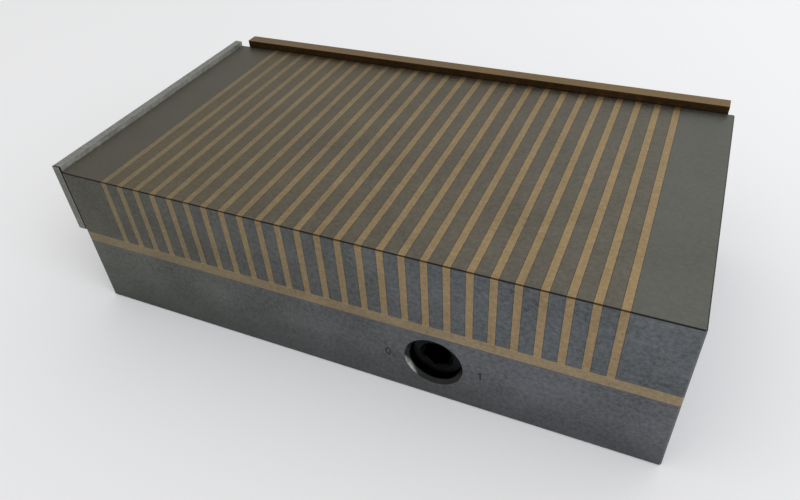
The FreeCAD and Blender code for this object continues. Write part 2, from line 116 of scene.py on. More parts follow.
class Surface:
    """A new material, and the patterns that its finish is worked out from."""

    def __init__(self, name: str) -> None:
        """Start an empty material.

        Args:
            name: the material's name.
        """
        self.material = bpy.data.materials.new(name)
        self.material.use_nodes = True
        self.tree = self.material.node_tree
        self.tree.nodes.clear()
        place = self.add("ShaderNodeTexCoord")
        self.place = place.outputs["Object"]
        self.normal = place.outputs["Normal"]

    def add(self, kind: str, settings: Optional[dict] = None,
            links: Optional[dict] = None) -> bpy.types.Node:
        """Add a node to this material."""
        return add_node(self.tree, kind, settings, links)

    def arithmetic(self, operation: str, *terms: Any) -> NodeSocket:
        """Work out one number from one to three others.

        Args:
            operation: the name of the arithmetic, such as MULTIPLY.
            terms: numbers or sockets.

        Returns:
            The socket with the result.
        """
        settings = {"operation": operation}
        links = {}
        for index, term in enumerate(terms):
            (links if isinstance(term, NodeSocket) else settings)[index] = term
        return self.add("ShaderNodeMath", settings, links).outputs[0]

    def weighted(self, *terms: tuple[NodeSocket, float]) -> NodeSocket:
        """Add patterns up by weight; patterns at their middle give a half.

        Args:
            terms: each pattern, from 0 to 1, with its weight.

        Returns:
            The socket with the sum.
        """
        total = 0.5 - sum(weight for _, weight in terms) / 2
        for pattern, weight in terms:
            total = self.arithmetic("MULTIPLY_ADD", pattern, weight, total)
        return total

    def blend(self, share: Any, first: Any, second: Any) -> NodeSocket:
        """Blend two colours.

        Args:
            share: how much of the second shows, from 0 to 1.
            first: a hex colour or a socket.
            second: a hex colour or a socket.

        Returns:
            The socket with the blended colour.
        """
        settings = {"data_type": "RGBA", "clamp_factor": True}
        links = {}
        for index, term in ((0, share), (6, first), (7, second)):
            if isinstance(term, NodeSocket):
                links[index] = term
            else:
                settings[index] = linear(term) if isinstance(term, str) else term
        return self.add("ShaderNodeMix", settings, links).outputs[2]

    def choose(self, share: NodeSocket, first: Any, second: Any) -> NodeSocket:
        """Blend two numbers.

        Args:
            share: how much of the second counts, from 0 to 1.
            first: a number or a socket.
            second: a number or a socket.

        Returns:
            The socket with the blended number.
        """
        settings = {"data_type": "FLOAT"}
        links = {0: share}
        for index, term in ((2, first), (3, second)):
            (links if isinstance(term, NodeSocket) else settings)[index] = term
        return self.add("ShaderNodeMix", settings, links).outputs[0]

    def spread(self, value: NodeSocket, low: float, high: float, new_low: float = 0.0,
               new_high: float = 1.0) -> NodeSocket:
        """Stretch a value's range smoothly over a new one, clamped at both ends.

        Args:
            value: the value.
            low: where its range starts.
            high: where its range ends.
            new_low: the result up to the range's start.
            new_high: the result from the range's end on.

        Returns:
            The socket with the result.
        """
        return self.add("ShaderNodeMapRange", {
            "interpolation_type": "SMOOTHSTEP", 1: low, 2: high, 3: new_low, 4: new_high,
        }, {0: value}).outputs[0]

    def noise(self, cell_mm: tuple[float, float, float], detail: float = 2.0,
              seed: float = 0.0, rough: float = 0.5,
              place: Optional[NodeSocket] = None) -> NodeSocket:
        """A soft random pattern, from 0 to 1, most of it near the middle.

        Args:
            cell_mm: the pattern's typical size along, across and up.
            detail: how many finer patterns lie on it.
            seed: moves the pattern, so that two of the same size differ.
            rough: how strong the finer patterns are.
            place: the coordinates, where they aren't the chuck's own.

        Returns:
            The socket with the pattern's value.
        """
        scale = tuple(1 / (size * MM) for size in cell_mm)
        mapped = self.add("ShaderNodeMapping", {"Scale": scale, "Location": (seed, seed, seed)},
                          {"Vector": place or self.place}).outputs[0]
        return self.add("ShaderNodeTexNoise", {
            "Scale": 1.0, "Detail": detail, "Roughness": rough,
        }, {"Vector": mapped}).outputs[0]

    def outward(self, axis: Axis) -> NodeSocket:
        """How far the surface looks along an axis, from -1 to 1."""
        return self.add("ShaderNodeSeparateXYZ", links={0: self.normal}).outputs[axis.value]

    def facing(self, axis: Axis) -> NodeSocket:
        """How squarely the surface faces along an axis, either way, from 0 to 1."""
        return self.arithmetic("ABSOLUTE", self.outward(axis))

    def along(self, axis: Axis) -> NodeSocket:
        """The place along one axis, in metres."""
        return self.add("ShaderNodeSeparateXYZ", links={0: self.place}).outputs[axis.value]

    def scaled(self, colour: Any, factor: NodeSocket) -> NodeSocket:
        """Make a colour lighter or darker.

        Args:
            colour: a hex colour or a socket.
            factor: what the colour is multiplied by.

        Returns:
            The socket with the colour.
        """
        settings = {"operation": "SCALE"}
        links = {"Scale": factor}
        if isinstance(colour, NodeSocket):
            links[0] = colour
        else:
            settings[0] = linear(colour)[:3]
        return self.add("ShaderNodeVectorMath", settings, links).outputs[0]

    def within(self, distance: NodeSocket, reach: float, soft: float) -> NodeSocket:
        """Give 1 where a distance is less than a reach, and 0 farther out."""
        return self.spread(distance, reach - soft, reach + soft, 1.0, 0.0)

    def either(self, *masks: NodeSocket) -> NodeSocket:
        """Give the greatest of some masks."""
        return reduce(partial(self.arithmetic, "MAXIMUM"), masks)

    def both(self, *masks: NodeSocket) -> NodeSocket:
        """Give the product of some masks."""
        return reduce(partial(self.arithmetic, "MULTIPLY"), masks)

    def grinding_lines(self, spacing_mm: float, length_mm: float,
                       seed: float = 0.0) -> NodeSocket:
        """Fine lines as a grinding wheel leaves them: along the chuck, and across on its ends.

        Args:
            spacing_mm: typical distance from line to line.
            length_mm: typical length of a line.
            seed: moves the pattern.

        Returns:
            The socket with the lines' height, from 0 to 1.
        """
        along = self.noise((length_mm, spacing_mm, spacing_mm), 3.0, seed, 0.65)
        across = self.noise((spacing_mm, length_mm, spacing_mm), 3.0, seed + 7, 0.65)
        return self.choose(self.spread(self.facing(Axis.ALONG), 0.6, 0.8), along, across)

    def hairlines(self, width_mm: float, length_mm: float, turn_deg: float, share: float,
                  seed: float) -> NodeSocket:
        """Sparse hairline scratches that all run about one way.

        Args:
            width_mm: how wide a scratch is.
            length_mm: how long a scratch is.
            turn_deg: how far their direction is turned from the chuck's length.
            share: how much of the surface they take; 0.1 is plenty.
            seed: moves the pattern.

        Returns:
            The socket with the scratches, from 0 to 1.
        """
        turn = math.radians(turn_deg)
        turned = self.add("ShaderNodeVectorRotate", {
            "rotation_type": "EULER_XYZ", "Rotation": (turn * 0.3, turn, turn),
        }, {"Vector": self.place}).outputs[0]
        value = self.noise((length_mm, width_mm, width_mm), 1.0, seed, place=turned)
        return self.spread(value, 0.74 - share, 0.8 - share)

    def radius_from(self, centre: Vector, narrowness: float = 1.0) -> NodeSocket:
        """Distance in metres from the line that runs from front to rear through a point.

        Args:
            centre: the point.
            narrowness: how many times faster the distance grows along than up.

        Returns:
            The socket with the distance.
        """
        flat = self.add("ShaderNodeVectorMath", {
            "operation": "MULTIPLY", 1: (narrowness, 0.0, 1.0)}, {0: self.place}).outputs[0]
        return self.add("ShaderNodeVectorMath", {
            "operation": "DISTANCE", 1: (centre.x * narrowness, 0.0, centre.z),
        }, {0: flat}).outputs["Value"]

    def toward(self, centre: Vector, turn_deg: float) -> NodeSocket:
        """How far a point lies from a centre in one direction of the chuck's front.

        Args:
            centre: the point that the distance starts from.
            turn_deg: the direction, turned up from along.

        Returns:
            The socket with the distance in metres, negative the other way.
        """
        turn = math.radians(turn_deg)
        direction = Vector((math.cos(turn), 0.0, math.sin(turn)))
        place = self.add("ShaderNodeVectorMath", {
            "operation": "DOT_PRODUCT", 1: direction[:]}, {0: self.place}).outputs["Value"]
        return self.arithmetic("SUBTRACT", place, direction.dot(centre))

    def edge_distance(self, low: Vector, high: Vector) -> NodeSocket:
        """Distance in metres from a point of a box's surface to the box's nearest edge.

        Args:
            low: the box's lowest corner.
            high: the box's highest corner.

        Returns:
            The socket with the distance.
        """
        from_low = self.add("ShaderNodeVectorMath", {"operation": "SUBTRACT", 1: low[:]},
                            {0: self.place}).outputs[0]
        from_high = self.add("ShaderNodeVectorMath", {"operation": "SUBTRACT", 0: high[:]},
                             {1: self.place}).outputs[0]
        nearest = self.add("ShaderNodeVectorMath", {"operation": "MINIMUM"},
                           {0: from_low, 1: from_high}).outputs[0]
        x, y, z = self.add("ShaderNodeSeparateXYZ", links={0: nearest}).outputs
        lesser = self.arithmetic("MINIMUM", x, y)
        greater = self.arithmetic("MAXIMUM", x, y)
        return self.arithmetic("MAXIMUM", lesser, self.arithmetic("MINIMUM", greater, z))

    def finish(self, colour: NodeSocket, roughness: Any, height: Optional[NodeSocket],
               height_mm: float, settings: dict) -> bpy.types.Material:
        """Join the patterns to the material's shader.

        Args:
            colour: socket with the surface's colour.
            roughness: number or socket.
            height: socket with the relief, from 0 to 1, or None for no relief.
            height_mm: how high the relief stands at 1.
            settings: the shader's plain values by input name.

        Returns:
            The finished material.
        """
        links = {"Base Color": colour}
        if isinstance(roughness, NodeSocket):
            links["Roughness"] = roughness
        else:
            settings = {**settings, "Roughness": roughness}
        if height is not None:
            bump = self.add("ShaderNodeBump", {"Strength": 1.0, "Distance": height_mm * MM},
                            {"Height": height})
            links["Normal"] = bump.outputs[0]
        shader = self.add("ShaderNodeBsdfPrincipled", settings, links)
        self.add("ShaderNodeOutputMaterial", links={0: shader.outputs[0]})
        return self.material


@dataclass(frozen=True)
class Bore:
    """A bore from front to rear whose turned wall and mouth show in a ground face, with painted
    shade on its wall and a painted dark reflection and a painted highlight on its mouth.
    """

    centre: Vector
    depth: float
    radius: float
    mouth_radius: float
    # The wall's near black is painted shade in the recess.
    wall_shade_colour: str = "#101010"
    # The mouth's colours are a painted dark reflection and a painted highlight.
    mouth_reflection_colour: str = "#2c2c2c"
    mouth_highlight_colour: str = "#a8a8a6"
    highlight_turn_deg: float = 208.0
    mouth_roughness: float = 0.3
    highlight_from: float = 0.86
    highlight_to: float = 0.97

    def cover(self, s: Surface, colour: NodeSocket,
              roughness: NodeSocket) -> tuple[NodeSocket, NodeSocket]:
        """Lay the bore's look over a face's colour and roughness.

        Args:
            s: the surface that the patterns are added to.
            colour: the face's colour.
            roughness: the face's roughness.

        Returns:
            The new colour and roughness.
        """
        radius = s.radius_from(self.centre)
        front = s.within(s.along(Axis.ACROSS), self.centre.y + self.depth, 0.2 * MM)
        mouth = s.both(front, s.within(radius, self.mouth_radius, 0.05 * MM))
        wall = s.both(front, s.within(radius, self.radius + 0.2 * MM, 0.1 * MM))
        # The mouth gets a patchy painted highlight on its lower left, where it would reflect
        # the lamp and floor, and a painted dark reflection elsewhere.
        side = s.toward(self.centre, self.highlight_turn_deg)
        patchy = s.noise((1.2, 1.2, 1.2), 2.0, 8.0)
        painted_light = s.both(s.spread(side, self.highlight_from * self.mouth_radius,
                                 self.highlight_to * self.mouth_radius),
                        s.spread(patchy, 0.3, 0.55, 0.5, 1.0))
        colour = s.blend(mouth, colour,
                         s.blend(painted_light, self.mouth_reflection_colour, self.mouth_highlight_colour))
        # Painted shade: the bore's wall is made near black.
        colour = s.blend(wall, colour, self.wall_shade_colour)
        return colour, s.choose(mouth, roughness, self.mouth_roughness)


@dataclass(frozen=True)
class StampedFigures:
    """A 0 and a 1 stamped into the front, for the key's two end positions."""

    middle: Vector
    offset: float = 22.4 * MM
    height: float = 4.6 * MM
    stroke: float = 0.78 * MM
    depth: float = 0.12 * MM
    darkness: float = 0.85
    reach: float = 1.0 * MM
    soft: float = 0.08 * MM
    zero_drop: float = 1.0 * MM
    zero_narrowness: float = 1.65
    zero_stroke_gain: float = 1.3
    flag_length: float = 1.7 * MM
    flag_turn_deg: float = 42.0
    flag_inset: float = 0.55 * MM
    flag_drop: float = 0.75 * MM

    def mask(self, s: Surface) -> NodeSocket:
        """Give 1 inside the strokes.

        Args:
            s: the surface that the figures are stamped into.

        Returns:
            The socket with the mask.
        """
        front = s.within(s.along(Axis.ACROSS), self.middle.y + self.reach, 0.2 * MM)
        return s.both(front, s.either(self.zero(s), *self.one(s)))

    def zero(self, s: Surface) -> NodeSocket:
        """The 0: an oval ring, left of the middle.

        Args:
            s: the surface that it is stamped into.

        Returns:
            The socket with its mask.
        """
        centre = self.middle - Vector((self.offset, 0, self.zero_drop))
        half_stroke = self.stroke / 2
        ring = s.arithmetic("SUBTRACT", s.radius_from(centre, self.zero_narrowness),
                            self.height / 2 - half_stroke)
        # The oval's sides come out thinner than its ends, so the whole stroke is widened.
        return s.within(s.arithmetic("ABSOLUTE", ring), half_stroke * self.zero_stroke_gain,
                        self.soft)

    def one(self, s: Surface) -> tuple[NodeSocket, NodeSocket]:
        """The 1: a stem and its flag, right of the middle.

        Args:
            s: the surface that it is stamped into.

        Returns:
            The sockets with the stem's mask and the flag's.
        """
        centre = self.middle + Vector((self.offset, 0, 0))
        flag = centre + Vector((-self.flag_inset, 0, self.height / 2 - self.flag_drop))
        return (self.bar(s, centre, 90.0, self.height),
                self.bar(s, flag, self.flag_turn_deg, self.flag_length))

    def bar(self, s: Surface, centre: Vector, turn_deg: float, length: float) -> NodeSocket:
        """One straight stroke of a figure.

        Args:
            s: the surface that it is stamped into.
            centre: its middle.
            turn_deg: its direction, turned up from along.
            length: its length.

        Returns:
            The socket with the stroke's mask.
        """
        along = s.arithmetic("ABSOLUTE", s.toward(centre, turn_deg))
        across = s.arithmetic("ABSOLUTE", s.toward(centre, turn_deg + 90))
        return s.both(s.within(along, length / 2, self.soft),
                      s.within(across, self.stroke / 2, self.soft))


@dataclass(frozen=True)
class Joint:
    """The dark line where two metals meet, square to an axis, once or repeated."""

    axis: Axis
    place: float
    pitch: float = 0.0

    def distance(self, s: Surface) -> NodeSocket:
        """Distance in metres from the nearest line.

        Args:
            s: the surface that the line is drawn on.

        Returns:
            The socket with the distance.
        """
        place = s.arithmetic("SUBTRACT", s.along(self.axis), self.place)
        if self.pitch:
            return s.arithmetic("PINGPONG", place, self.pitch / 2)
        return s.arithmetic("ABSOLUTE", place)


@dataclass(frozen=True)
class Tint:
    """A face's colour at its lit right end and at its shaded left end, painted as light and
    shade, and how mottled it is.
    """

    clean: str
    shaded: str
    mottle: float


@dataclass(frozen=True)
class GroundMetal:
    """Surface-ground metal: fine lines, mottling, scratches and worn edges, with painted shade
    toward the left end, on the sides, at the foot and on slanting broken edges, and painted
    light on the inner face.
    """

    name: str
    top: Tint
    sides: Tint
    scratch_colour: str
    dark_mark_and_edge_shade_colour: str
    low: Vector
    high: Vector
    roughness: float = 0.5
    roughness_spread: float = 0.06
    mottle_mm: float = 1.9
    cloud_mm: float = 24.0
    falloff_mm: float = 60.0
    falloff_start: float = 0.08
    falloff_end: float = 0.8
    falloff_wander: float = 0.3
    line_spacing_mm: float = 0.5
    line_length_mm: float = 45.0
    relief_mm: float = 0.004
    wear_mm: float = 0.7
    wear_strength: float = 0.35
    scratch_strength: float = 0.3
    foot_shade_colour: Optional[str] = None
    foot_height_mm: float = 30.0
    foot_strength: float = 0.4
    inner_light_colour: Optional[str] = None
    dark_end_mm: float = 0.0
    joints: tuple[Joint, ...] = ()
    joint_reach_mm: float = 0.192
    joint_strength: float = 0.75
    bore: Optional[Bore] = None
    figures: Optional[StampedFigures] = None

    def material(self) -> bpy.types.Material:
        """Build the finish's material.

        Returns:
            The material, with all the patterns of the finish.
        """
        s = Surface(self.name)
        # Lines half a millimetre apart are a wheel's real lay drawn just coarse enough to show.
        lines = s.grinding_lines(self.line_spacing_mm, self.line_length_mm)
        fine = s.noise((self.mottle_mm,) * 3, 3.0, 5.0, 0.7)
        clouds = s.noise((self.cloud_mm, self.cloud_mm, self.cloud_mm * 0.8), 4.0, 11.0, 0.6)
        tone = s.weighted((fine, 1.0), (clouds, 0.55), (lines, 0.4))
        colour = self.shaded_foot(s, self.tinted(s, tone))
        colour = self.worn(s, self.painted_light(s, colour, tone), fine)
        colour = self.edged(s, self.parted(s, colour))
        roughness = s.spread(tone, 0.2, 0.8, self.roughness - self.roughness_spread,
                             self.roughness + self.roughness_spread)
        height = s.weighted((lines, 0.5), (fine, 0.5))
        if self.figures:
            colour, height = self.stamped(s, colour, height)
        if self.bore:
            colour, roughness = self.bore.cover(s, colour, roughness)
        return s.finish(colour, roughness, height, self.relief_mm, {"Metallic": 1.0})

    def tinted(self, s: Surface, tone: NodeSocket) -> NodeSocket:
        """Colour the top and the sides, from a painted shade at the left end to the lit right
        end; the sides get their own, mostly darker colour as painted shade.

        Args:
            s: the surface that the patterns are added to.
            tone: the mottling, about a half.

        Returns:
            The socket with the colour.
        """
        length = self.high.x - self.low.x
        # The left end is painted darker than the right, as shade from light that falls from the
        # right; a noise makes the boundary wander.
        clouded = s.noise((self.falloff_mm, self.falloff_mm, self.falloff_mm / 1.5), 2.0, 21.0)
        place = s.arithmetic("MULTIPLY_ADD", s.arithmetic("SUBTRACT", clouded, 0.5),
                             self.falloff_wander * length, s.along(Axis.ALONG))
        clean = s.add("ShaderNodeMapRange", {
            1: self.low.x + self.falloff_start * length, 2: self.low.x + self.falloff_end * length,
        }, {0: place}).outputs[0]
        # The sides get their own copy of the colour, mostly darker and cooler than the top's:
        # painted shade.
        topward = s.spread(s.facing(Axis.UP), 0.7, 0.9)
        colour = s.blend(topward, s.blend(clean, self.sides.shaded, self.sides.clean),
                         s.blend(clean, self.top.shaded, self.top.clean))
        mottle = s.add("ShaderNodeMapRange", {3: self.sides.mottle, 4: self.top.mottle},
                       {0: topward}).outputs[0]
        factor = s.arithmetic("MULTIPLY_ADD", s.arithmetic("SUBTRACT", tone, 0.5), mottle, 1.0)
        return s.scaled(colour, factor)

    def shaded_foot(self, s: Surface, colour: NodeSocket) -> NodeSocket:
        """Paint shade on the foot, darker toward the floor, where the finish has a foot shade
        colour.

        Args:
            s: the surface that the pattern is added to.
            colour: the colour before.

        Returns:
            The socket with the colour.
        """
        if not self.foot_shade_colour:
            return colour
        # Painted shade: the colour darkens toward the floor.
        foot = s.spread(s.along(Axis.UP), 0.0, self.foot_height_mm * MM, self.foot_strength,
                        0.0)
        return s.blend(foot, colour, self.foot_shade_colour)

    def painted_light(self, s: Surface, colour: NodeSocket, tone: NodeSocket) -> NodeSocket:
        """Paint light on the face that looks to the right, where the finish has an inner light
        colour.

        Args:
            s: the surface that the pattern is added to.
            colour: the colour before.
            tone: the mottling, about a half.

        Returns:
            The socket with the colour.
        """
        if not self.inner_light_colour:
            return colour
        # Painted light: the face that looks to the right is made brighter.
        inner = s.spread(s.outward(Axis.ALONG), 0.7, 0.9)
        bright = s.scaled(self.inner_light_colour, s.spread(tone, 0.0, 1.0, 0.75, 1.25))
        return s.blend(inner, colour, bright)

    def parted(self, s: Surface, colour: NodeSocket) -> NodeSocket:
        """Draw the dark lines where the metal meets another.

        Args:
            s: the surface that the lines are added to.
            colour: the colour before.

        Returns:
            The socket with the colour.
        """
        reach = self.joint_reach_mm * MM
        for joint in self.joints:
            line = s.within(joint.distance(s), reach, reach)
            colour = s.blend(s.arithmetic("MULTIPLY", line, self.joint_strength), colour,
                             self.dark_mark_and_edge_shade_colour)
        return colour

    def edged(self, s: Surface, colour: NodeSocket) -> NodeSocket:
        """Paint shade on the broken edges that slant up, for their dark reflection, and on a
        band beside the front end.

        Args:
            s: the surface that the edges are added to.
            colour: the colour before.

        Returns:
            The socket with the colour.
        """
        up = s.facing(Axis.UP)
        # Painted shade: broken edges that slant up are made dark, for their dark reflection.
        dark = s.both(s.spread(up, 0.4, 0.6), s.spread(up, 0.8, 0.92, 1.0, 0.0))
        if self.dark_end_mm:
            end = s.arithmetic("SUBTRACT", s.along(Axis.ACROSS), self.low.y)
            dark = s.either(dark, s.both(
                s.within(end, self.dark_end_mm * MM, 0.15 * MM),
                s.spread(s.facing(Axis.ACROSS), 0.3, 0.6, 1.0, 0.0)))
        return s.blend(dark, colour, self.dark_mark_and_edge_shade_colour)

    def stamped(self, s: Surface, colour: NodeSocket,
                height: NodeSocket) -> tuple[NodeSocket, NodeSocket]:
        """Press the figures in and darken them.

        Args:
            s: the surface that the figures are added to.
            colour: the colour before.
            height: the relief before.

        Returns:
            The new colour and relief.
        """
        mask = self.figures.mask(s)
        colour = s.blend(s.arithmetic("MULTIPLY", mask, self.figures.darkness), colour,
                         self.dark_mark_and_edge_shade_colour)
        depth = s.arithmetic("MULTIPLY", mask, self.figures.depth / (self.relief_mm * MM))
        return colour, s.arithmetic("SUBTRACT", height, depth)

    def worn(self, s: Surface, colour: NodeSocket, ragged: NodeSocket) -> NodeSocket:
        """Add hairline scratches, and edges rubbed bright.

        Args:
            s: the surface that the patterns are added to.
            colour: the colour before wear.
            ragged: a pattern that makes the rubbed edge uneven.

        Returns:
            The socket with the colour.
        """
        # Most real hairlines are finer; these are drawn just wide enough to show.
        scratches = s.either(s.hairlines(0.16, 11.0, 24.0, 0.05, 1.0),
                             s.hairlines(0.16, 7.0, -58.0, 0.04, 4.0),
                             s.hairlines(0.2, 5.0, 81.0, 0.04, 17.0))
        colour = s.blend(s.arithmetic("MULTIPLY", scratches, self.scratch_strength), colour,
                         self.scratch_colour)
        distance = s.edge_distance(self.low, self.high)
        width = self.wear_mm * MM
        uneven = s.arithmetic("MULTIPLY_ADD", ragged, width, distance)
        worn = s.spread(uneven, 0.5 * width, 1.4 * width, self.wear_strength, 0.0)
        return s.blend(worn, colour, self.scratch_colour)


@dataclass(frozen=True)
class TurnedMetal:
    """Turned, milled, cast or drawn stock, bright or blackened, with small handling marks."""

    name: str
    colour: str
    second_colour: str
    roughness: float
    roughness_spread: float = 0.06
    cell_mm: float = 4.0
    grain_mm: float = 0.5
    grain_height_mm: float = 0.003
    metallic: float = 1.0

    def material(self) -> bpy.types.Material:
        """Build the finish's material.

        Returns:
            The material, with its clouds and its grain.
        """
        s = Surface(self.name)
        cloud = s.noise((self.cell_mm,) * 3, 4.0, 2.0, 0.6)
        # A tool's or a mould's real marks are finer than this grain, which is drawn to show.
        grain = s.noise((self.grain_mm,) * 3, 2.0, 9.0)
        colour = s.blend(s.spread(cloud, 0.35, 0.65), self.colour, self.second_colour)
        roughness = s.spread(cloud, 0.3, 0.7, self.roughness - self.roughness_spread,
                             self.roughness + self.roughness_spread)
        return s.finish(colour, roughness, grain, self.grain_height_mm,
                        {"Metallic": self.metallic})


def dress_nodes(names: Iterable[str], material: bpy.types.Material) -> None:
    """Give each of the model's nodes a material.

    Args:
        names: the nodes' names.
        material: what their surfaces get.
    """
    for name in names:
        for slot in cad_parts[name].material_slots:
            slot.material = material
        log.info("dressed %s with %s", name, material.name)


def solids_of(node: str) -> list[tuple[Vector, Vector]]:
    """Find the box of each separate solid in one of the model's nodes.

    Args:
        node: the node's name.

    Returns:
        Each solid's lowest and highest corner.
    """
    mesh = bmesh.new()
    mesh.from_mesh(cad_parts[node].data)
    bmesh.ops.remove_doubles(mesh, verts=mesh.verts, dist=1e-6)
    unseen = set(mesh.verts)
    boxes = []
    while unseen:
        island, edge_of_search = set(), [unseen.pop()]
        while edge_of_search:
            vertex = edge_of_search.pop()
            island.add(vertex)
            near = {edge.other_vert(vertex) for edge in vertex.link_edges} & unseen
            unseen -= near
            edge_of_search += near
        places = [vertex.co.copy() for vertex in island]
        boxes.append((Vector(map(min, zip(*places))), Vector(map(max, zip(*places)))))
    mesh.free()
    return sorted(boxes, key=lambda box: tuple(box[0]))


def hexagon_radius(flats: float, turn: float) -> float:
    """Distance from a hexagon's middle to its side.

    Args:
        flats: the hexagon's width across flats.
        turn: the direction in radians, from a corner.

    Returns:
        The distance in that direction.
    """
    sixth = math.pi / 3
    return flats / 2 / math.cos(turn % sixth - sixth / 2)


class RingMesh:
    """A solid built ring by ring along its own Z axis, closed by a point at each end."""

    def __init__(self, points_per_ring: int) -> None:
        """Start an empty solid.

        Args:
            points_per_ring: how many points each ring has.
        """
        self.count = points_per_ring
        self.vertices: list[Vector] = []
        self.faces: list[tuple[int, ...]] = []

    def tip(self, depth: float) -> None:
        """Add an end point on the axis."""
        self.vertices.append(Vector((0, 0, depth)))

    def ring(self, depth: float, radii: Sequence[float]) -> None:
        """Add a ring and join it to what comes before it.

        Args:
            depth: its place along the axis.
            radii: one radius for each point.
        """
        start = len(self.vertices)
        for index, radius in enumerate(radii):
            turn = 2 * math.pi * index / self.count
            self.vertices.append(Vector((radius * math.cos(turn), radius * math.sin(turn),
                                         depth)))
        for index in range(self.count):
            following = (index + 1) % self.count
            if start == 1:
                self.faces.append((0, start + following, start + index))
            else:
                before = start - self.count
                self.faces.append((before + index, before + following, start + following,
                                   start + index))

    def round(self, depth: float, radius: float) -> None:
        """Add a circular ring."""
        self.ring(depth, [radius] * self.count)

    def close(self, depth: float) -> None:
        """End the solid in a point on the axis.

        Args:
            depth: the point's place along the axis.
        """
        last = len(self.vertices)
        start = last - self.count
        self.tip(depth)
        for index in range(self.count):
            self.faces.append((last, start + index, start + (index + 1) % self.count))


@dataclass(frozen=True)
class SocketScrew:
    """A hexagon socket screw. Its head's top is at zero, and it runs along its own Z."""

    head: Head
    head_radius: float
    head_height: float
    shank_radius: float
    key_flats: float
    key_depth: float
    pitch: float
    length: float = 0.0
    mouth_chamfer: float = 0.12 * MM
    mouth_depth: float = 0.25 * MM
    drill_point: float = 0.25
    crown_inset: float = 0.5 * MM
    shoulder_inset: float = 0.22 * MM
    shoulder_depth: float = 0.12 * MM
    ribs: int = 32
    rib_depth: float = 0.16 * MM
    ribs_start: float = 0.6 * MM
    ribs_end: float = 0.9 * MM
    rib_run_in: float = 0.15 * MM
    rib_run_out: float = 0.2 * MM
    foot_chamfer: float = 0.2 * MM
    rim_inset: float = 0.05 * MM
    rim_taper: float = 0.03 * MM
    plain_share: float = 0.35
    thread_depth: float = 0.61
    thread_flat: float = 0.05

    def add_to(self, solid: RingMesh) -> None:
        """Add the screw's rings, from the socket's bottom to the shank's end.

        Args:
            solid: an empty solid.
        """
        turns = [2 * math.pi * index / solid.count for index in range(solid.count)]
        hexagon = [hexagon_radius(self.key_flats, turn) for turn in turns]
        solid.tip(self.key_depth + self.drill_point * self.key_flats)
        solid.ring(self.key_depth, hexagon)
        solid.ring(self.mouth_depth, hexagon)
        solid.round(0.0, self.key_flats / math.sqrt(3) + self.mouth_chamfer)
        if self.head is Head.CAP:
            self.add_cap_head(solid)
        else:
            self.add_flat_head(solid)
        self.add_thread(solid)

    def add_cap_head(self, solid: RingMesh) -> None:
        """Add a cylindrical head with a ribbed grip.

        Args:
            solid: what the rings are added to.
        """
        valley = self.head_radius - self.rib_depth
        step = solid.count // self.ribs
        ribbed = [self.head_radius if index % step else valley for index in range(solid.count)]
        ribs_end = self.head_height - self.ribs_end
        solid.round(0.0, self.head_radius - self.crown_inset)
        solid.round(self.shoulder_depth, self.head_radius - self.shoulder_inset)
        solid.round(self.ribs_start - self.rib_run_in, valley)
        solid.ring(self.ribs_start, ribbed)
        solid.ring(ribs_end, ribbed)
        solid.round(ribs_end + self.rib_run_out, valley)
        solid.round(self.head_height - self.foot_chamfer, valley)
        solid.round(self.head_height, valley - self.foot_chamfer)
        solid.round(self.head_height, self.shank_radius)

    def add_flat_head(self, solid: RingMesh) -> None:
        """Add a countersunk head with a narrow rim.

        Args:
            solid: what the rings are added to.
        """
        rim_radius = self.head_radius - self.rim_inset
        solid.round(0.0, rim_radius)
        solid.round(self.shoulder_depth, rim_radius - self.rim_taper)
        solid.round(self.head_height, self.shank_radius)

    def add_thread(self, solid: RingMesh) -> None:
        """Add the shank, threaded over its far part, and close the solid.

        Args:
            solid: what the rings are added to.
        """
        flat = self.thread_flat * self.pitch
        root = self.shank_radius - self.thread_depth * self.pitch
        depth = self.head_height + self.plain_share * (self.length - self.head_height)
        end = self.length - self.pitch
        solid.round(depth, self.shank_radius)
        while depth + self.pitch < end:
            solid.round(depth + self.pitch / 2 - flat, root)
            solid.round(depth + self.pitch / 2 + flat, root)
            solid.round(depth + self.pitch - flat, self.shank_radius - flat)
            depth += self.pitch
        solid.round(self.length, root)
        solid.close(self.length)


@dataclass(frozen=True)
class ScrewSet:
    """Detailed screws in the places of one node's plain ones."""

    piece: str
    node: str
    body: str
    axis: Axis
    toward: int
    screw: SocketScrew
    slot: str
    points_per_ring: int = 96
    sharp_deg: float = 28.0

    def build(self, material: bpy.types.Material) -> bpy.types.Object:
        """Build the screws as one piece.

        Args:
            material: what their surfaces get.

        Returns:
            The new piece.
        """
        direction = Vector([0, 0, 0])
        direction[self.axis.value] = self.toward
        turned = direction.to_track_quat("Z", "Y").to_matrix()
        solid = RingMesh(self.points_per_ring)
        self.screw.add_to(solid)
        vertices, faces = [], []
        for low, high in solids_of(self.node):
            top = (low + high) / 2
            top[self.axis.value] = (low if self.toward > 0 else high)[self.axis.value]
            start = len(vertices)
            vertices += [turned @ vertex + top for vertex in solid.vertices]
            faces += [tuple(start + index for index in face) for face in solid.faces]
        piece = new_piece(self.piece, vertices, faces, material)
        piece.data.shade_smooth()
        piece.data.set_sharp_from_angle(angle=math.radians(self.sharp_deg))
        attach(piece, self.body)
        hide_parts(self.node)
        log.info("built %s in place of %s", self.piece, self.node)
        return piece


def new_piece(name: str, vertices: Sequence[Vector], faces: Sequence[Sequence[int]],
              material: Optional[bpy.types.Material]) -> bpy.types.Object:
    """Make an object from points and faces, with its faces turned outward.

    Args:
        name: the object's name.
        vertices: its points.
        faces: each face's points by number.
        material: what its surfaces get, or None.

    Returns:
        The new object.
    """
    shape = bmesh.new()
    points = [shape.verts.new(vertex) for vertex in vertices]
    for face in faces:
        shape.faces.new([points[index] for index in face])
    bmesh.ops.recalc_face_normals(shape, faces=shape.faces)
    mesh = bpy.data.meshes.new(name)
    shape.to_mesh(mesh)
    shape.free()
    if material:
        mesh.materials.append(material)
    piece = bpy.data.objects.new(name, mesh)
    bpy.context.scene.collection.objects.link(piece)
    return piece


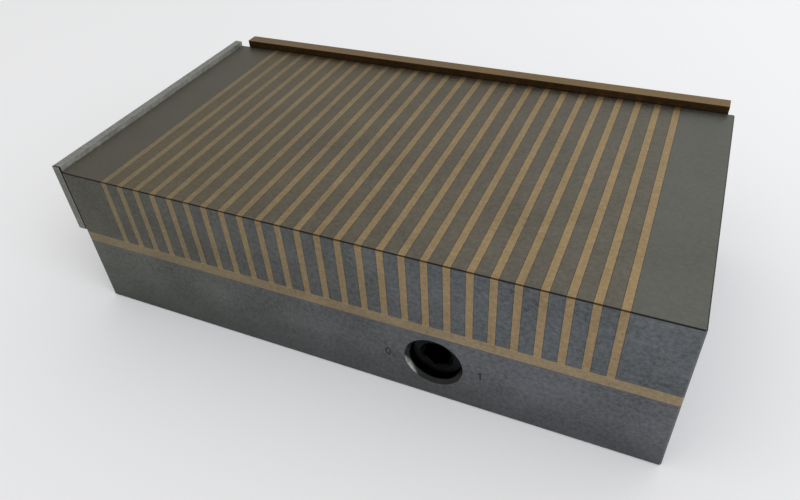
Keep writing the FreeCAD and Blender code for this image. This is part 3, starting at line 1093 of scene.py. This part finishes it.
@dataclass
class PolePlate:
    """Working face: steel bars and brass strips between two steel end blocks."""

    strip_count: int = 26

    def dress(self) -> None:
        """Give the plate's nodes their finishes."""
        low, left_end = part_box("left_end_block")
        right_start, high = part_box("right_end_block")
        bars_low, bars_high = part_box("pole_bars")
        pitch = (bars_high.x - left_end.x) / (self.strip_count - 1)
        foot = Joint(Axis.UP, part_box("separation_frame")[1].z)
        # The plate's sides get a darker, cooler colour than its top: painted shade.
        sides = Tint("#626669", "#54534b", 1.7)
        # Tool steel, surface ground and wiped with oil: a dull grey, near smooth on top,
        # painted darker and warmer toward the left end as shade.
        ends = GroundMetal("surface_ground_tool_steel", Tint("#666760", "#5b584d", 0.7), sides,
                           "#8d8e89", "#2b2825", low, high,
                           joints=(foot, Joint(Axis.ALONG, left_end.x),
                                   Joint(Axis.ALONG, right_start.x)))
        # The same steel in thin bars, which the wheel has smeared with a trace of brass.
        bars = GroundMetal("brass_smeared_bar_steel", Tint("#69655b", "#645b48", 1.0), sides,
                           "#8d8e89", "#2b2825", low, high,
                           joints=(foot, Joint(Axis.ALONG, bars_low.x, pitch),
                                   Joint(Axis.ALONG, left_end.x, pitch)))
        # Brass, ground flush with the steel: tan, dulled by the wheel, and painted darker
        # toward the left end as shade.
        brass = GroundMetal("surface_ground_brass", Tint("#9d8865", "#7f7257", 0.9),
                            Tint("#9b8667", "#7b6e54", 1.1), "#bda781", "#4a371f", low, high)
        dress_nodes(("left_end_block", "right_end_block"), ends.material())
        dress_nodes(("pole_bars",), bars.material())
        dress_nodes(("brass_strips",), brass.material())


@dataclass
class Base:
    """Steel base with its brass separation frame, cover and screws."""

    bore_radius: float = 12.25 * MM
    bore_mouth_radius: float = 14.15 * MM
    bore_depth: float = 8.0 * MM

    def dress(self) -> None:
        """Give the base's nodes their finishes."""
        low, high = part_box("base_housing")
        shaft_low, shaft_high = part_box("cam_shaft")
        axis = (shaft_low + shaft_high) / 2
        axis.y = low.y
        bore = Bore(axis, self.bore_depth, self.bore_radius, self.bore_mouth_radius)
        # Low-carbon steel, ground all over: a cooler grey, with painted shade darkening it
        # toward its foot.
        steel = GroundMetal("surface_ground_base_steel", Tint("#6a6d6e", "#5c5e59", 0.5),
                            Tint("#65676b", "#585a54", 1.7), "#80838a", "#2d2d2d", low, high,
                            foot_shade_colour="#3f403e", joints=(Joint(Axis.UP, high.z),),
                            bore=bore, figures=StampedFigures(axis))
        # Brass frame, ground with the base's sides: tan, a little greyer than the strips.
        brass_sides = Tint("#98876c", "#7b6f56", 1.1)
        brass = GroundMetal("ground_brass_frame", brass_sides, brass_sides, "#b5a27f",
                            "#4a371f", *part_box("separation_frame"), wear_mm=0.4)
        cover_faces = Tint("#595b5c", "#50514e", 0.5)
        cover = GroundMetal("milled_cover_steel", cover_faces, cover_faces, "#727476",
                            "#2d2d2d", *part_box("bottom_cover"))
        dress_nodes(("base_housing",), steel.material())
        dress_nodes(("bottom_cover",), cover.material())
        dress_nodes(("separation_frame",), brass.material())


@dataclass
class CamShaft:
    """Key shaft with its hexagon socket, and the block that it drives."""

    def dress(self) -> None:
        """Give the shaft's nodes their finishes."""
        # Turned steel with a hot black oxide finish: near black, with an oily half gloss.
        black = TurnedMetal("black_oxide_turned_steel", "#161616", "#0d0d0d", 0.36)
        bronze = TurnedMetal("cast_bearing_bronze", "#8a6237", "#6f4c2a", 0.4)
        # Moulded nitrile rubber: matt black.
        rubber = TurnedMetal("moulded_nitrile_rubber", "#161617", "#1f1f20", 0.75,
                             metallic=0.0)
        dress_nodes(("cam_shaft", "locating_screw"), black.material())
        dress_nodes(("slide_block",), bronze.material())
        dress_nodes(("shaft_seal",), rubber.material())


@dataclass
class MagnetPack:
    """Sliding pack of magnets and soft iron inside the base."""

    def dress(self) -> None:
        """Give the pack's nodes their finishes."""
        # Milled brass: yellow, with faint cutter marks.
        brass = TurnedMetal("milled_brass", "#a88b52", "#957843", 0.38)
        # Milled soft iron: a plain mid grey.
        iron = TurnedMetal("milled_soft_iron", "#6c6b69", "#5c5b59", 0.45)
        # Sintered ferrite: a dull grey-black ceramic.
        ferrite = TurnedMetal("sintered_ferrite", "#2c2b2b", "#222121", 0.7, metallic=0.0)
        # Rolled bearing bronze strip: brown-gold.
        bronze = TurnedMetal("rolled_bearing_bronze", "#8a6237", "#6f4c2a", 0.4)
        dress_nodes(("pack_front_rail", "pack_rear_rail", "pack_floor", "pack_left_end_bar",
                     "pack_right_end_bar"), brass.material())
        dress_nodes(("pack_pole_plates",), iron.material())
        dress_nodes(("pack_magnets",), ferrite.material())
        dress_nodes(("pack_slide_strips", "front_guide_strips", "rear_guide_strip",
                     "support_strips"), bronze.material())


@dataclass
class Stops:
    """Side stop and rear stop."""

    def dress(self) -> None:
        """Give the stops their finishes."""
        # Ground gauge plate: paler than the pole plate, with painted light on its inner face,
        # which looks to the right, and painted shade on its sides and on a band at its front
        # end.
        steel = GroundMetal("surface_ground_gauge_plate", Tint("#878882", "#838480", 1.2),
                            Tint("#72736d", "#72736d", 1.3), "#a9aaa4", "#2c2c2a",
                            *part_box("side_stop"), mottle_mm=3.2, inner_light_colour="#cdcec7",
                            dark_end_mm=1.0)
        # Drawn brass bar: a dull brown on top, and its sides painted dark brown as shade.
        brass = GroundMetal("drawn_and_tarnished_brass", Tint("#7c6643", "#745c3d", 0.9),
                            Tint("#4e3c29", "#4b3825", 1.1), "#93784f", "#2a1e12",
                            *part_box("rear_stop"), roughness=0.46)
        dress_nodes(("side_stop",), steel.material())
        dress_nodes(("rear_stop",), brass.material())


@dataclass
class Screws:
    """All the socket screws that can be seen from outside."""

    m6_cap: SocketScrew = SocketScrew(
        Head.CAP, head_radius=5.0 * MM, head_height=6.0 * MM, shank_radius=3.0 * MM,
        key_flats=5.0 * MM, key_depth=3.0 * MM, pitch=1.0 * MM)
    m4_flat: SocketScrew = SocketScrew(
        Head.FLAT, head_radius=3.8 * MM, head_height=2.0 * MM, shank_radius=2.0 * MM,
        key_flats=2.5 * MM, key_depth=1.4 * MM, pitch=0.7 * MM)

    def screw_set(self, piece: str, node: str, axis: Axis, toward: int,
                  screw: SocketScrew) -> ScrewSet:
        """Plan the detailed screws that stand in for one node's plain ones.

        Args:
            piece: the new piece's name.
            node: the node with the plain screws.
            axis: what the screws run along.
            toward: 1 or -1, the way that they run from their heads.
            screw: their form; their length is the node's own.

        Returns:
            The set of screws.
        """
        low, high = solids_of(node)[0]
        fitted = replace(screw, length=(high - low)[axis.value])
        return ScrewSet(piece, node, "chuck_body", axis, toward, fitted, "screw_steel")

    def dress(self) -> None:
        """Build each set of screws."""
        # Alloy steel with black oxide, wiped with oil: near black with a half gloss.
        material = TurnedMetal("black_oxide_screw_steel", "#242425", "#19191a",
                               0.38).material()
        for piece, node, axis, toward, screw in (
                ("side_stop_cap_screws", "side_stop_screws", Axis.ALONG, 1, self.m6_cap),
                ("rear_stop_cap_screws", "rear_stop_screws", Axis.ACROSS, -1, self.m6_cap),
                ("clamp_cap_screws", "clamp_screws", Axis.UP, 1, self.m6_cap),
                ("cover_flat_screws", "cover_screws", Axis.UP, 1, self.m4_flat)):
            self.screw_set(piece, node, axis, toward, screw).build(material)


@dataclass(frozen=True)
class Softbox:
    """A square soft lamp that faces the chuck."""

    name: str
    place: tuple[float, float, float]
    side: float
    watts: float
    colour: str

    def hang(self) -> None:
        """Add the lamp to the scene."""
        data = bpy.data.lights.new(self.name, "AREA")
        data.size = self.side
        data.energy = self.watts
        data.color = linear(self.colour)[:3]
        lamp = bpy.data.objects.new(self.name, data)
        lamp.location = self.place
        lamp.rotation_euler = (-Vector(self.place)).to_track_quat("-Z", "Y").to_euler()
        bpy.context.scene.collection.objects.link(lamp)


@dataclass
class Studio:
    """Pale floor, soft light and the camera."""

    floor_half: float = 6.0
    floor_gap: float = 0.1 * MM
    dim_floor_colour: str = "#eaeaea"
    bright_floor_colour: str = "#f4f4f4"
    brighter_toward: tuple[float, float, float] = (0.8, 0.6, 0.0)
    bright_from: float = -0.25
    bright_to: float = 0.6
    world_colour: str = "#ffffff"
    world_strength: float = 0.78
    lamps: tuple[Softbox, ...] = (
        Softbox("key_softbox", (2.6, -1.2, 2.4), 2.6, 52.0, "#f2f6ff"),
        Softbox("rear_softbox", (0.9, 2.6, 2.2), 2.6, 5.0, "#ffffff"),
        Softbox("fill_softbox", (-1.8, -1.6, 2.4), 2.4, 5.0, "#fff8ee"))
    lens_mm: float = 30.179
    camera_place: tuple[float, float, float] = (0.12511, -0.26456, 0.25788)
    camera_turn_deg: tuple[float, float, float] = (50.064, 2.999, 23.713)

    def build(self) -> None:
        """Make the floor, world, lamps and camera."""
        self.floor()
        self.world()
        for lamp in self.lamps:
            lamp.hang()
        self.camera()

    def floor(self) -> None:
        """Lay a pale floor a hair below the base, painted a little paler to the rear right as
        light.
        """
        half, z = self.floor_half, -self.floor_gap
        corners = [Vector((x, y, z)) for x, y in
                   ((-half, -half), (half, -half), (half, half), (-half, half))]
        s = Surface("matt_studio_paper")
        toward = s.add("ShaderNodeVectorMath", {
            "operation": "DOT_PRODUCT", 1: self.brighter_toward}, {0: s.place}).outputs["Value"]
        share = s.spread(toward, self.bright_from, self.bright_to)
        colour = s.blend(share, self.dim_floor_colour, self.bright_floor_colour)
        paper = s.finish(colour, 0.9, None, 0.0, {"Specular IOR Level": 0.1})
        new_piece("studio_floor", corners, [(0, 1, 2, 3)], paper)

    def world(self) -> None:
        """Light the chuck softly from all round."""
        world = bpy.data.worlds.new("studio_world")
        bpy.context.scene.world = world
        world.use_nodes = True
        world.node_tree.nodes.clear()
        light = add_node(world.node_tree, "ShaderNodeBackground", {
            "Color": linear(self.world_colour), "Strength": self.world_strength})
        add_node(world.node_tree, "ShaderNodeOutputWorld", links={0: light.outputs[0]})

    def camera(self) -> None:
        """Set the camera a little above and to the right of the chuck's front."""
        data = bpy.data.cameras.new("studio_camera")
        data.lens = self.lens_mm
        camera = bpy.data.objects.new("studio_camera", data)
        camera.location = self.camera_place
        camera.rotation_euler = Euler([math.radians(turn) for turn in self.camera_turn_deg])
        bpy.context.scene.collection.objects.link(camera)
        bpy.context.scene.camera = camera


def main() -> None:
    """Build the studio and dress the chuck."""
    logging.basicConfig(level=logging.INFO)
    bpy.context.scene.view_settings.view_transform = "Standard"
    Studio().build()
    for assembly in (PolePlate(), Base(), CamShaft(), MagnetPack(), Stops(), Screws()):
        assembly.dress()
        log.info("finished %s", type(assembly).__name__)


if __name__ == "__main__":
    main()
